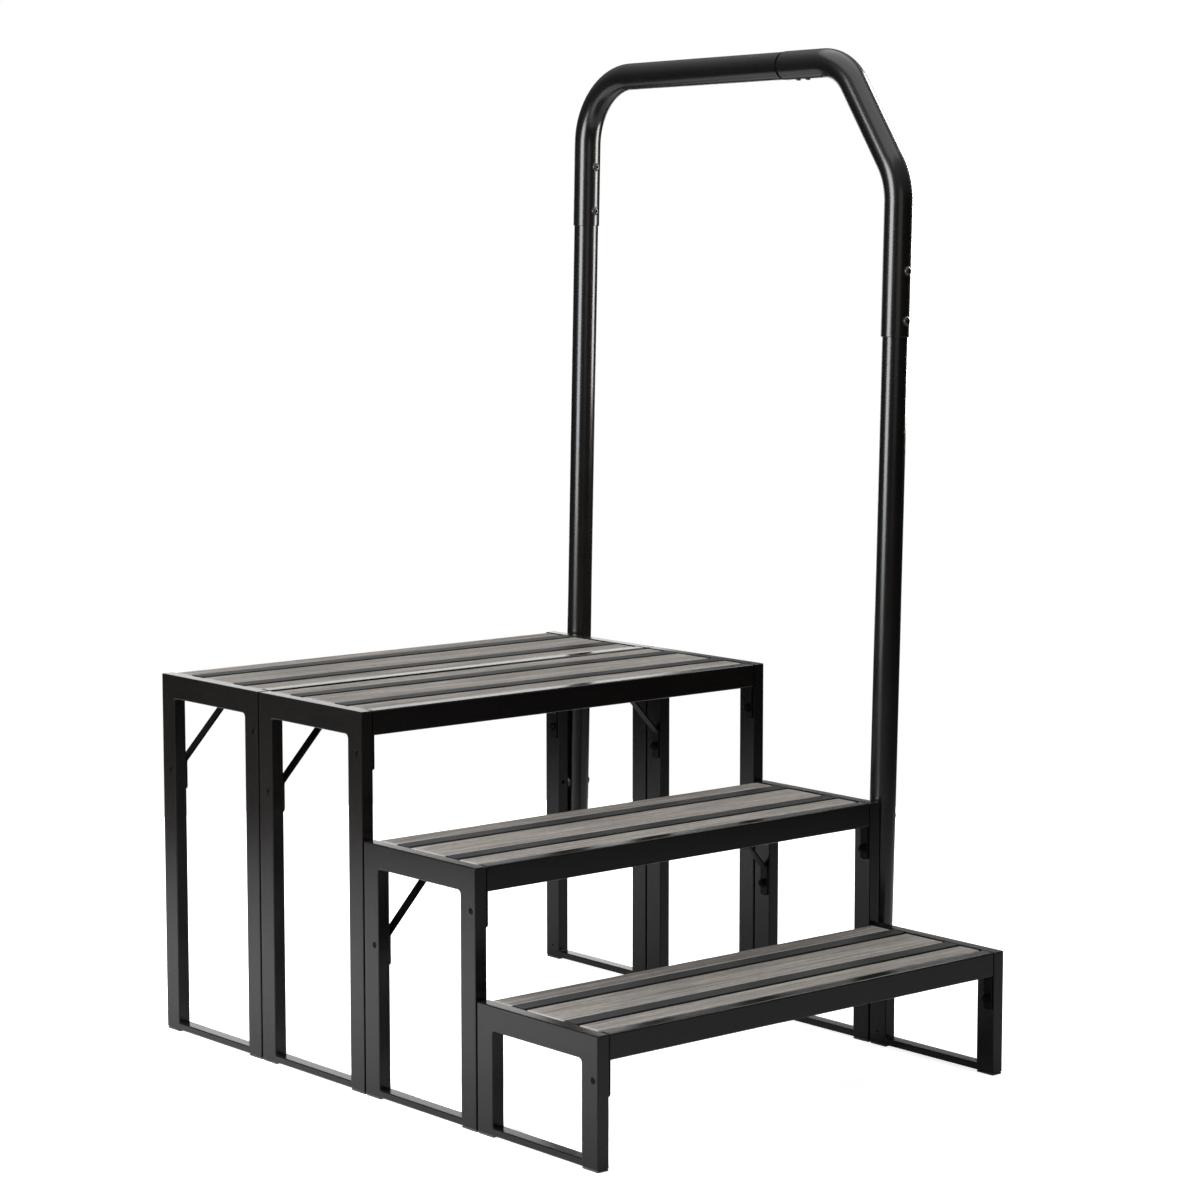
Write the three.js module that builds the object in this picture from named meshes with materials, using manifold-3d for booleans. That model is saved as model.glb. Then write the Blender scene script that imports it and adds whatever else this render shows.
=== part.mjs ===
// Outdoor steps: four bolted bench modules with boarded treads and one handrail on the right.
// Millimetres, +Z up, the front of the steps faces -Y, the handrail is on the +X side.
import * as THREE from 'three';
import { mergeVertices } from 'three/addons/utils/BufferGeometryUtils.js';
import Module from 'manifold-3d';

// Overall layout
const STEP_WIDTH = 740;
const RISER = 176;
const MODULE_PITCH = 247;
const MODULE_DEPTH = 244;

// Side frames
const LEG_ACROSS = 19;
const LEG_DEEP = 32;
const SIDE_RAIL_HEIGHT = 34;
const FOOT_HEIGHT = 3;
const FOOT_BAR_HEIGHT = 10;
const CORNER_FILLET = 5;
const EDGE_ROUND = 1.4;

// Cross rails
const RAIL_HEIGHT = 34;
const RAIL_DEEP = 20;
const RAIL_END_GAP = 1.2;
const RAIL_ROUND = 2.2;
const REAR_RAIL_FRONT = 214;
const REAR_RAIL_REAR = 238;
const REAR_RAIL_TOP = 20.8;
const TAB_THICK = 3;
const TAB_WIDE = 14;
const TAB_INSET = 2;
const FRONT_TAB_BOTTOM = 82;

// Treads
const BOARD_THICK = 20;
const BOARD_DROP = 0.5;
const BOARD_END_GAP = 3;
const BOARD_ROUND = 2;
const BOARDS = [
  { name: 'front_board', front: 25, rear: 63 },
  { name: 'middle_board', front: 95, rear: 169 },
  { name: 'rear_board', front: 201, rear: 239 },
];
const SLATS = [
  { front: 66.5, rear: 91.5 },
  { front: 172.5, rear: 197.5 },
];
const SLAT_RISE = 0.4;
const SLAT_ROUND = 1.2;
const BEARER_WIDE = 30;
const BEARER_TOP = 21;
const BEARER_BOTTOM = 33;
const BEARER_X = [70, 370, 670];

// Knee braces: one bent strip from the rear leg up to the rear rail
const BRACE_TAB_BOTTOM = 169;
const BRACE_LOW_BEND = 128;
const BRACE_REACH = 84;
const BRACE_RAIL_TAB = 30;

// Handrail
const POST_RADIUS = 19;
const REAR_TUBE_RADIUS = 20.5;
const FRONT_TUBE_RADIUS = 21.25;
const RAIL_PLANE_X = 759;
const RAIL_LEAN = 0.0235;
const REAR_POST_Y = 962;
const FRONT_POST_Y = 268;
const REAR_POST_BOTTOM = 225;
const FRONT_POST_BOTTOM = 25;
const REAR_SLEEVE_END = 1173;
const FRONT_SLEEVE_END = 1020;
const REAR_CORNER_Z = 1401.5;
const FRONT_CORNER = [387.6, 1413.3];
const SLOPE_END_Z = 1243;
const JOINT_Y = 508;
const REAR_BEND_RADIUS = 104;
const FRONT_BEND_RADIUS = 76;
const LOWER_BEND_RADIUS = 104;
const SOCKET_GAP = 0.3;
const BOSS_RADIUS = 8;
const REAR_BOSS_Z = [285, 505];
const FRONT_BOSS_Z = [62, 325];

const TUBE_SIDES = 40;

const MODULES = [
  { name: 'low_step', index: 0, risers: 1, braced: false },
  { name: 'middle_step', index: 1, risers: 2, braced: true },
  { name: 'platform_front', index: 2, risers: 3, braced: true },
  { name: 'platform_rear', index: 3, risers: 3, braced: true },
];

const LEAN_ANGLE = Math.atan(RAIL_LEAN);
const COAT = { color: 0x2b2b2d, roughness: 0.45, metalness: 0.35 };
const SLAT_COAT = { color: 0x1d1e20, roughness: 0.3, metalness: 0.4 };
const BOARD = { color: 0x96918a, roughness: 0.8, metalness: 0 };

const wasm = await Module();
wasm.setup();

const group = new THREE.Group();

function addPiece(name, geometry, finish) {
  const mesh = new THREE.Mesh(geometry, new THREE.MeshStandardMaterial(finish));
  mesh.name = name;
  group.add(mesh);
}

// Turns a closed surface into a solid that can be joined with others.
function toSolid(geometry) {
  const bare = geometry.clone();
  bare.deleteAttribute('normal');
  bare.deleteAttribute('uv');
  const merged = mergeVertices(bare, 1e-4);
  return new wasm.Manifold(new wasm.Mesh({
    numProp: 3,
    vertProperties: new Float32Array(merged.attributes.position.array),
    triVerts: new Uint32Array(merged.index.array),
  }));
}

function join(geometries) {
  let solid = toSolid(geometries[0]);
  for (const geometry of geometries.slice(1)) {
    solid = solid.add(toSolid(geometry));
  }
  const mesh = solid.getMesh();
  const result = new THREE.BufferGeometry();
  result.setAttribute('position', new THREE.BufferAttribute(mesh.vertProperties, 3));
  result.setIndex(new THREE.BufferAttribute(mesh.triVerts, 1));
  const flat = result.toNonIndexed();
  flat.computeVertexNormals();
  return flat;
}

// Basic solids
function block(x0, x1, y0, y1, z0, z1) {
  const geometry = new THREE.BoxGeometry(x1 - x0, y1 - y0, z1 - z0);
  geometry.translate((x0 + x1) / 2, (y0 + y1) / 2, (z0 + z1) / 2);
  return geometry;
}

function roundedProfile(a0, a1, b0, b1, radius) {
  const shape = new THREE.Shape();
  shape.moveTo(a0 + radius, b0);
  shape.lineTo(a1 - radius, b0);
  shape.absarc(a1 - radius, b0 + radius, radius, -Math.PI / 2, 0, false);
  shape.lineTo(a1, b1 - radius);
  shape.absarc(a1 - radius, b1 - radius, radius, 0, Math.PI / 2, false);
  shape.lineTo(a0 + radius, b1);
  shape.absarc(a0 + radius, b1 - radius, radius, Math.PI / 2, Math.PI, false);
  shape.lineTo(a0, b0 + radius);
  shape.absarc(a0 + radius, b0 + radius, radius, Math.PI, Math.PI * 1.5, false);
  return shape;
}

// Turns a profile drawn in (Y, Z) and pushed along its own depth so that the depth lies along X.
function layAlongX(geometry, x0) {
  const turn = new THREE.Matrix4().makeBasis(
    new THREE.Vector3(0, 1, 0),
    new THREE.Vector3(0, 0, 1),
    new THREE.Vector3(1, 0, 0),
  );
  geometry.applyMatrix4(turn);
  geometry.translate(x0, 0, 0);
  return geometry;
}

function barAlongX(x0, x1, y0, y1, z0, z1, radius, segments) {
  const profile = roundedProfile(y0, y1, z0, z1, radius);
  const options = { depth: x1 - x0, bevelEnabled: false, curveSegments: segments };
  return layAlongX(new THREE.ExtrudeGeometry(profile, options), x0);
}

// One welded side frame: two legs, the top rail and the thin bar just above the feet.
function sideFrame(y0, height, x0) {
  const y1 = y0 + MODULE_DEPTH;
  const outline = new THREE.Shape();
  outline.moveTo(y0, 0);
  outline.lineTo(y0 + LEG_DEEP, 0);
  outline.lineTo(y0 + LEG_DEEP, FOOT_HEIGHT);
  outline.lineTo(y1 - LEG_DEEP, FOOT_HEIGHT);
  outline.lineTo(y1 - LEG_DEEP, 0);
  outline.lineTo(y1, 0);
  outline.lineTo(y1, height);
  outline.lineTo(y0, height);
  outline.closePath();
  const left = y0 + LEG_DEEP;
  const right = y1 - LEG_DEEP;
  const low = FOOT_HEIGHT + FOOT_BAR_HEIGHT;
  const high = height - SIDE_RAIL_HEIGHT;
  const opening = new THREE.Path();
  opening.moveTo(left, low);
  opening.lineTo(left, high - CORNER_FILLET);
  opening.absarc(left + CORNER_FILLET, high - CORNER_FILLET, CORNER_FILLET, Math.PI, Math.PI / 2, true);
  opening.lineTo(right - CORNER_FILLET, high);
  opening.absarc(right - CORNER_FILLET, high - CORNER_FILLET, CORNER_FILLET, Math.PI / 2, 0, true);
  opening.lineTo(right, low);
  opening.closePath();
  outline.holes.push(opening);
  const geometry = new THREE.ExtrudeGeometry(outline, {
    depth: LEG_ACROSS - 2 * EDGE_ROUND,
    bevelEnabled: true,
    bevelSize: EDGE_ROUND,
    bevelThickness: EDGE_ROUND,
    bevelOffset: -EDGE_ROUND,
    bevelSegments: 3,
    curveSegments: 4,
  });
  return layAlongX(geometry, x0 + EDGE_ROUND);
}

// Front cross rail with a bolting tab welded under each end.
function frontRail(y0, height) {
  const x0 = LEG_ACROSS + RAIL_END_GAP;
  const x1 = STEP_WIDTH - x0;
  const low = height - RAIL_HEIGHT;
  const rail = barAlongX(x0, x1, y0, y0 + RAIL_DEEP, low, height, RAIL_ROUND, 3);
  const tabLow = height - FRONT_TAB_BOTTOM;
  const tabs = [x0, x1 - TAB_THICK].map((x) => (
    block(x, x + TAB_THICK, y0 + TAB_INSET, y0 + TAB_INSET + TAB_WIDE, tabLow, low + 4)
  ));
  return join([rail, ...tabs]);
}

function rearRail(y0, height) {
  const x0 = LEG_ACROSS + RAIL_END_GAP;
  const low = height - RAIL_HEIGHT;
  const top = height - REAR_RAIL_TOP;
  const front = y0 + REAR_RAIL_FRONT;
  return barAlongX(x0, STEP_WIDTH - x0, front, y0 + REAR_RAIL_REAR, low, top, RAIL_ROUND, 3);
}

function board(y0, height, front, rear) {
  const x0 = LEG_ACROSS + BOARD_END_GAP;
  const top = height - BOARD_DROP;
  const y1 = y0 + rear;
  return barAlongX(x0, STEP_WIDTH - x0, y0 + front, y1, top - BOARD_THICK, top, BOARD_ROUND, 3);
}

// Two steel slats between the boards, joined by the bearers the boards rest on.
function treadGrid(y0, height) {
  const x0 = LEG_ACROSS + BOARD_END_GAP;
  const x1 = STEP_WIDTH - x0;
  const top = height + SLAT_RISE;
  const low = height - BEARER_TOP - 0.2;
  const slats = SLATS.map(({ front, rear }) => (
    barAlongX(x0, x1, y0 + front, y0 + rear, low - 2, top, SLAT_ROUND, 2)
  ));
  const bearers = BEARER_X.map((x) => block(
    x - BEARER_WIDE / 2,
    x + BEARER_WIDE / 2,
    y0 + RAIL_DEEP + 0.3,
    y0 + REAR_RAIL_FRONT - 0.3,
    height - BEARER_BOTTOM,
    low,
  ));
  return join([...slats, ...bearers]);
}

// Flat strip bent twice: a tab down the leg, a diagonal, and a tab along the underside of the rear rail.
function kneeBrace(y0, height, onLeft) {
  const legFace = LEG_ACROSS + 0.3;
  const railLow = height - RAIL_HEIGHT - 0.3;
  const lowBend = height - BRACE_LOW_BEND;
  const rise = railLow - TAB_THICK - lowBend;
  const slant = Math.atan2(rise, BRACE_REACH);
  const leg = TAB_THICK * Math.tan((Math.PI / 2 - slant) / 2);
  const rail = TAB_THICK * Math.tan(slant / 2);
  const topX = legFace + TAB_THICK + BRACE_REACH;
  const strip = new THREE.Shape();
  strip.moveTo(legFace, height - BRACE_TAB_BOTTOM);
  strip.lineTo(legFace + TAB_THICK, height - BRACE_TAB_BOTTOM);
  strip.lineTo(legFace + TAB_THICK, lowBend);
  strip.lineTo(topX, railLow - TAB_THICK);
  strip.lineTo(topX + BRACE_RAIL_TAB, railLow - TAB_THICK);
  strip.lineTo(topX + BRACE_RAIL_TAB, railLow);
  strip.lineTo(topX - rail, railLow);
  strip.lineTo(legFace, lowBend + leg);
  strip.closePath();
  const options = { depth: TAB_WIDE, bevelEnabled: false };
  const brace = new THREE.ExtrudeGeometry(strip, options);
  const front = y0 + MODULE_DEPTH - LEG_DEEP + TAB_INSET;
  brace.rotateX(Math.PI / 2);
  brace.translate(0, front + TAB_WIDE, 0);
  if (!onLeft) {
    brace.rotateZ(Math.PI);
    brace.translate(STEP_WIDTH, 2 * front + TAB_WIDE, 0);
  }
  return brace;
}

// A path in the YZ plane that runs straight from each of its points to the next.
class PlanarPath extends THREE.Curve {
  constructor(points) {
    super();
    this.points = points;
  }

  getPoint(t) {
    const place = t * (this.points.length - 1);
    const i = Math.min(Math.floor(place), this.points.length - 2);
    const [y0, z0] = this.points[i];
    const [y1, z1] = this.points[i + 1];
    const part = place - i;
    return new THREE.Vector3(0, y0 + (y1 - y0) * part, z0 + (z1 - z0) * part);
  }

  getPointAt(u) {
    return this.getPoint(u);
  }

  getTangentAt(u) {
    const last = this.points.length - 1;
    const i = Math.round(u * last);
    const [y0, z0] = this.points[Math.max(i - 1, 0)];
    const [y1, z1] = this.points[Math.min(i + 1, last)];
    return new THREE.Vector3(0, y1 - y0, z1 - z0).normalize();
  }
}

function bentTube(points, radius) {
  const circle = new THREE.Shape();
  circle.absarc(0, 0, radius, 0, Math.PI * 2, false);
  return new THREE.ExtrudeGeometry(circle, {
    steps: points.length - 1,
    curveSegments: TUBE_SIDES / 2,
    bevelEnabled: false,
    extrudePath: new PlanarPath(points),
  });
}

function sub(a, b) {
  return [a[0] - b[0], a[1] - b[1]];
}

function unit(v) {
  const length = Math.hypot(v[0], v[1]);
  return [v[0] / length, v[1] / length];
}

// Rounds the corners of a path in (Y, Z); each corner carries its own bend radius.
function bentPath(corners, steps) {
  const path = [corners[0].at];
  for (let i = 1; i < corners.length - 1; i += 1) {
    const { at, radius } = corners[i];
    const back = unit(sub(corners[i - 1].at, at));
    const ahead = unit(sub(corners[i + 1].at, at));
    const half = Math.acos(back[0] * ahead[0] + back[1] * ahead[1]) / 2;
    const reach = radius / Math.tan(half);
    const toCentre = unit([back[0] + ahead[0], back[1] + ahead[1]]);
    const far = radius / Math.sin(half);
    const centre = [at[0] + toCentre[0] * far, at[1] + toCentre[1] * far];
    const start = sub([at[0] + back[0] * reach, at[1] + back[1] * reach], centre);
    const end = sub([at[0] + ahead[0] * reach, at[1] + ahead[1] * reach], centre);
    const from = Math.atan2(start[1], start[0]);
    let sweep = Math.atan2(end[1], end[0]) - from;
    sweep -= Math.round(sweep / (2 * Math.PI)) * 2 * Math.PI;
    for (let k = 0; k <= steps; k += 1) {
      const angle = from + (sweep * k) / steps;
      path.push([centre[0] + Math.cos(angle) * radius, centre[1] + Math.sin(angle) * radius]);
    }
  }
  path.push(corners[corners.length - 1].at);
  return path;
}

// Places a piece of the handrail in its slightly outward-leaning plane.
function leanOut(geometry) {
  geometry.rotateY(LEAN_ANGLE);
  geometry.translate(RAIL_PLANE_X, 0, 0);
  return geometry;
}

// Straight post with two stand-off bosses that reach the side frame.
function post(y, bottom, top, bossHeights) {
  const upright = new THREE.CylinderGeometry(POST_RADIUS, POST_RADIUS, top - bottom, TUBE_SIDES);
  upright.rotateX(Math.PI / 2);
  upright.translate(0, y, (top + bottom) / 2);
  const bosses = bossHeights.map((z) => {
    const x1 = RAIL_PLANE_X + RAIL_LEAN * z;
    const x0 = STEP_WIDTH + SOCKET_GAP;
    const boss = new THREE.CylinderGeometry(BOSS_RADIUS, BOSS_RADIUS, x1 - x0, 20);
    boss.rotateZ(Math.PI / 2);
    boss.translate((x0 + x1) / 2, y, z);
    return boss;
  });
  return join([leanOut(upright), ...bosses]);
}

function handrail() {
  const rise = (FRONT_CORNER[1] - REAR_CORNER_Z) / (REAR_POST_Y - FRONT_CORNER[0]);
  const jointZ = REAR_CORNER_Z + (REAR_POST_Y - JOINT_Y) * rise;
  const rearTube = bentPath([
    { at: [REAR_POST_Y, REAR_SLEEVE_END] },
    { at: [REAR_POST_Y, REAR_CORNER_Z], radius: REAR_BEND_RADIUS },
    { at: [JOINT_Y + SOCKET_GAP, jointZ] },
  ], 14);
  const frontTube = bentPath([
    { at: [JOINT_Y, jointZ] },
    { at: FRONT_CORNER, radius: FRONT_BEND_RADIUS },
    { at: [FRONT_POST_Y, SLOPE_END_Z], radius: LOWER_BEND_RADIUS },
    { at: [FRONT_POST_Y, FRONT_SLEEVE_END] },
  ], 10);
  addPiece('handrail_rear_upper_tube', leanOut(bentTube(rearTube, REAR_TUBE_RADIUS)), COAT);
  addPiece('handrail_front_upper_tube', leanOut(bentTube(frontTube, FRONT_TUBE_RADIUS)), COAT);
  const rearTop = REAR_SLEEVE_END - SOCKET_GAP;
  const frontTop = FRONT_SLEEVE_END - SOCKET_GAP;
  addPiece('handrail_rear_post', post(REAR_POST_Y, REAR_POST_BOTTOM, rearTop, REAR_BOSS_Z), COAT);
  addPiece('handrail_front_post', post(FRONT_POST_Y, FRONT_POST_BOTTOM, frontTop, FRONT_BOSS_Z), COAT);
}

function stepModule({ name, index, risers, braced }) {
  const y0 = index * MODULE_PITCH;
  const height = risers * RISER;
  addPiece(`${name}_left_side_frame`, sideFrame(y0, height, 0), COAT);
  addPiece(`${name}_right_side_frame`, sideFrame(y0, height, STEP_WIDTH - LEG_ACROSS), COAT);
  addPiece(`${name}_front_rail`, frontRail(y0, height), COAT);
  addPiece(`${name}_rear_rail`, rearRail(y0, height), COAT);
  for (const { name: boardName, front, rear } of BOARDS) {
    addPiece(`${name}_${boardName}`, board(y0, height, front, rear), BOARD);
  }
  addPiece(`${name}_slats_and_bearers`, treadGrid(y0, height), SLAT_COAT);
  if (braced) {
    addPiece(`${name}_left_knee_brace`, kneeBrace(y0, height, true), COAT);
    addPiece(`${name}_right_knee_brace`, kneeBrace(y0, height, false), COAT);
  }
}

MODULES.forEach(stepModule);
handrail();

// The origin sits at the bottom centre of the whole object.
const size = new THREE.Box3().setFromObject(group);
const centre = size.getCenter(new THREE.Vector3());
group.children.forEach((mesh) => {
  mesh.geometry.translate(-centre.x, -centre.y, -size.min.z);
});

export default group;
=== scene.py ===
import math

import bmesh
import bpy
import numpy as np
from mathutils import Matrix, Vector


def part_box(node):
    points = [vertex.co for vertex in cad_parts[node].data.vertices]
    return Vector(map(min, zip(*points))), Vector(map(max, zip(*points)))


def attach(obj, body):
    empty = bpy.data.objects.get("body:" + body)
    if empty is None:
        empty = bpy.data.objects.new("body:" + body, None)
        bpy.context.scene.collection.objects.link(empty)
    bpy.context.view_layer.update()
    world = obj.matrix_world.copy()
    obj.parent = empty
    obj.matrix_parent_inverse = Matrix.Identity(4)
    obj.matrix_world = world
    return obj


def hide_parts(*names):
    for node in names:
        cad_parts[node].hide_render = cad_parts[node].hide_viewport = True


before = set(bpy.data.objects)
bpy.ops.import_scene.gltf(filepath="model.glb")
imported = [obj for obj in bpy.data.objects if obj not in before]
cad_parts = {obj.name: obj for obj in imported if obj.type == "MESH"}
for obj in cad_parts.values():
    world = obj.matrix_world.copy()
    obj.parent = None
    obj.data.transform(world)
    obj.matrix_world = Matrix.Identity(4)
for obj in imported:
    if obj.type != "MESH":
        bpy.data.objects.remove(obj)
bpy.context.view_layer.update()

# ---------------------------------------------------------------- sizes and places, in millimetres
MM = 0.001
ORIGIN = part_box("low_step_left_side_frame")[0]
MODULES = ("low_step", "middle_step", "platform_front", "platform_rear")
BRACED = MODULES[1:]
SIDES = ("left", "right")
BOARDS = ("front_board", "middle_board", "rear_board")

# Side frames
LEG_DEEP = 32
SIDE_RAIL = 34
BAR_LOW, BAR_HIGH = 3, 13
FRAME_EDGE = 1.5
FRONT_FILLET, REAR_FILLET = 6, 3
SUNK_HOLE_R, SUNK_HOLE_DEPTH = 4.4, 1.6
LINK_HOLE_R, LINK_HOLE_DEPTH, LINK_HOLE_DROP = 3.0, 9, 240
FOOT_HOLE_R, FOOT_HOLE_DEPTH, FOOT_HOLE_Z = 1.7, 8, 21

# Fixings of the front rails and the braces
TAB_THICK = 3.0
TAB_CENTRE_FRONT, TAB_CENTRE_REAR = 9, 221
TAB_GAP_FRONT, TAB_GAP_REAR = 1.2, 0.3
FRONT_BOLT_DROP = {"left": 58, "right": 66}
REAR_BOLT_DROP = {"left": 139, "right": 150}

# Handrail: its plane leans outwards, and its places in it are (Y, height)
LEAN = 0.0235
RAIL_X = 759
POST_R, REAR_R, FRONT_R = 19, 20.5, 21.25
NECK_R = 18.4
REAR_Y, FRONT_Y = 962, 268
REAR_TOP, FRONT_TOP = 1401.5, (387.6, 1413.3)
REAR_SLEEVE, FRONT_SLEEVE = 1173, 1020
REAR_FOOT, FRONT_FOOT = 225, 25
POST_IN_SLEEVE = 24
JOINT_Y, JOINT_INSIDE, JOINT_GROOVE = 508, 26, 4.5
SLOPE_END = 1243
REAR_BEND, TOP_BEND, LOW_BEND = 104, 76, 104
REAR_BOSSES, FRONT_BOSSES = (285, 505), (62, 325)
REAR_BOLTS, FRONT_BOLTS = (1265, 1196), (1114, 1043)
STANDOFF_X = 740.4
RIVETS_Y, BUTTON_Y, PLUG_Y = (482, 462), 568, 491
TUBE_SIDES = 72


def at(x, y, z):
    """A point given in millimetres from the steps' low left front corner, in the row frame."""
    return ORIGIN + Vector((x, y, z)) * MM


def span(node):
    """Lowest and highest corner of a CAD node, in millimetres from the same corner."""
    lo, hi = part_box(node)
    return (lo - ORIGIN) / MM, (hi - ORIGIN) / MM


# ---------------------------------------------------------------- materials
MIX_FACTOR, MIX_A, MIX_B, MIX_COLOUR = 0, 6, 7, 2
NOISE_LOW, NOISE_HIGH = 0.25, 0.75


def set_stops(ramp, stops):
    """Gives a colour ramp its (place, colour) stops."""
    while len(ramp.elements) < len(stops):
        ramp.elements.new(0.5)
    for element, (place, colour) in zip(ramp.elements, stops):
        element.position = place
        element.color = (*colour, 1)


class Nodes:
    """Makes one material and links its shader nodes."""

    def __init__(self, name):
        self.material = bpy.data.materials.new(name)
        self.material.use_nodes = True
        self.tree = self.material.node_tree
        self.shader = self.tree.nodes["Principled BSDF"]
        self.place = self.add("ShaderNodeTexCoord").outputs["Object"]

    def add(self, kind, **settings):
        node = self.tree.nodes.new(kind)
        for key, value in settings.items():
            setattr(node, key, value)
        return node

    def link(self, a, b):
        self.tree.links.new(a, b)

    def feed(self, socket, value):
        """Links a socket to another, or gives it a constant."""
        if isinstance(value, bpy.types.NodeSocket):
            self.link(value, socket)
        else:
            socket.default_value = value

    def stretched(self, scale):
        node = self.add("ShaderNodeMapping")
        node.inputs["Scale"].default_value = scale
        self.link(self.place, node.inputs["Vector"])
        return node.outputs["Vector"]

    def noise(self, scale, detail=3.0, rough=0.5, where=None, distortion=0.0):
        node = self.add("ShaderNodeTexNoise")
        node.inputs["Scale"].default_value = scale
        node.inputs["Detail"].default_value = detail
        node.inputs["Roughness"].default_value = rough
        node.inputs["Distortion"].default_value = distortion
        self.link(where or self.place, node.inputs["Vector"])
        return node.outputs["Fac"]

    def ramp(self, source, stops):
        node = self.add("ShaderNodeValToRGB")
        set_stops(node.color_ramp, stops)
        self.link(source, node.inputs["Fac"])
        return node.outputs["Color"]

    def spread(self, source, low, high):
        """Stretches a noise's middle range from low to high."""
        node = self.add("ShaderNodeMapRange")
        node.inputs["From Min"].default_value = NOISE_LOW
        node.inputs["From Max"].default_value = NOISE_HIGH
        node.inputs["To Min"].default_value = low
        node.inputs["To Max"].default_value = high
        self.link(source, node.inputs["Value"])
        return node.outputs["Result"]

    def mix(self, factor, a, b, kind="MIX"):
        node = self.add("ShaderNodeMix", data_type="RGBA", blend_type=kind)
        self.feed(node.inputs[MIX_FACTOR], factor)
        for number, colour in ((MIX_A, a), (MIX_B, b)):
            self.feed(node.inputs[number], (*colour, 1) if isinstance(colour, tuple) else colour)
        return node.outputs[MIX_COLOUR]

    def maths(self, kind, a, b):
        node = self.add("ShaderNodeMath", operation=kind)
        self.feed(node.inputs[0], a)
        self.feed(node.inputs[1], b)
        return node.outputs[0]

    def bump(self, height, distance, strength=1.0, before=None):
        node = self.add("ShaderNodeBump")
        node.inputs["Distance"].default_value = distance
        node.inputs["Strength"].default_value = strength
        self.link(height, node.inputs["Height"])
        if before is not None:
            self.link(before, node.inputs["Normal"])
        return node.outputs["Normal"]

    def plug(self, name, value):
        self.feed(self.shader.inputs[name], value)


def scaled(colour, gain):
    return tuple(c * gain for c in colour)


def powder_coat(name, dark, light, rough, specular, grain=0.000003):
    """Black powder coat: fine orange peel, faint dust clouds and uneven gloss."""
    n = Nodes(name)
    clouds = n.noise(7.0, 4.0, 0.6)
    specks = n.noise(900.0, 2.0, 0.6)
    colour = n.ramp(clouds, [(0.3, dark), (0.72, light)])
    n.plug("Base Color", n.mix(n.spread(specks, 0.0, 0.35), colour, scaled(light, 1.35)))
    wear = n.noise(14.0, 3.0, 0.5)
    n.plug("Roughness", n.spread(wear, rough - 0.015, rough + 0.015))
    n.plug("Specular IOR Level", specular)
    peel = n.bump(n.noise(260.0, 2.0, 0.5), grain * 4)
    n.plug("Normal", n.bump(n.noise(1300.0, 2.0, 0.6), grain, 1.0, peel))
    return n.material


def weathered_board():
    """Grey wood-plastic board: long streaks, fine grain, flecks, blotches, and paler edges that are partly
    wear and partly a painted highlight.
    """
    n = Nodes("weathered_board")
    long_streaks = n.noise(1.0, 5.0, 0.62, n.stretched((5.0, 190.0, 60.0)), 0.15)
    fine_streaks = n.noise(1.0, 4.0, 0.7, n.stretched((22.0, 900.0, 500.0)))
    clouds = n.noise(9.0, 3.0, 0.55, n.stretched((1.0, 3.0, 3.0)))
    flecks = n.noise(1.0, 3.0, 0.75, n.stretched((260.0, 1500.0, 900.0)))
    blotches = n.noise(1.0, 5.0, 0.7, n.stretched((70.0, 260.0, 220.0)), 0.3)
    colour = n.ramp(long_streaks, [
        (0.24, (0.052, 0.046, 0.041)),
        (0.40, (0.108, 0.099, 0.090)),
        (0.58, (0.152, 0.143, 0.133)),
        (0.78, (0.245, 0.234, 0.220)),
    ])
    layers = (
        (clouds, [(0.3, (0.82, 0.82, 0.83)), (0.7, (1.04, 1.03, 1.00))]),
        (fine_streaks, [(0.3, (0.91, 0.905, 0.90)), (0.7, (1.08, 1.08, 1.08))]),
        (flecks, [
            (0.30, (0.80, 0.79, 0.78)), (0.42, (1, 1, 1)),
            (0.66, (1, 1, 1)), (0.8, (1.25, 1.25, 1.24)),
        ]),
        (blotches, [(0.30, (0.78, 0.77, 0.76)), (0.48, (0.98, 0.98, 0.98)), (0.70, (1.20, 1.20, 1.19))]),
    )
    for source, stops in layers:
        colour = n.mix(1.0, colour, n.ramp(source, stops), "MULTIPLY")
    # Paler edge colour from the edge mask: partly real wear, partly a painted highlight where the eased edges
    # catch the light.
    edge = n.add("ShaderNodeAttribute", attribute_name="edge").outputs["Fac"]
    broken = n.maths("MULTIPLY", edge, n.spread(n.noise(60.0, 3.0), 0.35, 1.0))
    n.plug("Base Color", n.mix(broken, colour, (0.275, 0.252, 0.226)))
    n.plug("Roughness", n.spread(fine_streaks, 0.62, 0.80))
    n.plug("Specular IOR Level", 0.035)
    grooves = n.bump(long_streaks, 0.0007, 0.55)
    n.plug("Normal", n.bump(fine_streaks, 0.00022, 0.8, grooves))
    return n.material


def steel(name, colour, rough, metal):
    """Dark steel with light scuffs."""
    n = Nodes(name)
    scuffs = n.noise(160.0, 3.0, 0.6)
    n.plug("Base Color", n.ramp(scuffs, [(0.3, scaled(colour, 0.75)), (0.7, colour)]))
    n.plug("Metallic", metal)
    n.plug("Roughness", n.spread(scuffs, rough - 0.05, rough + 0.08))
    n.plug("Normal", n.bump(n.noise(700.0), 0.000006))
    return n.material


def moulded_plastic(name, colour, rough):
    n = Nodes(name)
    mottling = n.noise(90.0, 3.0)
    n.plug("Base Color", n.ramp(mottling, [(0.3, colour), (0.75, scaled(colour, 1.5))]))
    n.plug("Roughness", n.spread(mottling, rough - 0.05, rough + 0.07))
    n.plug("Normal", n.bump(n.noise(1100.0), 0.000015))
    return n.material


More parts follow.
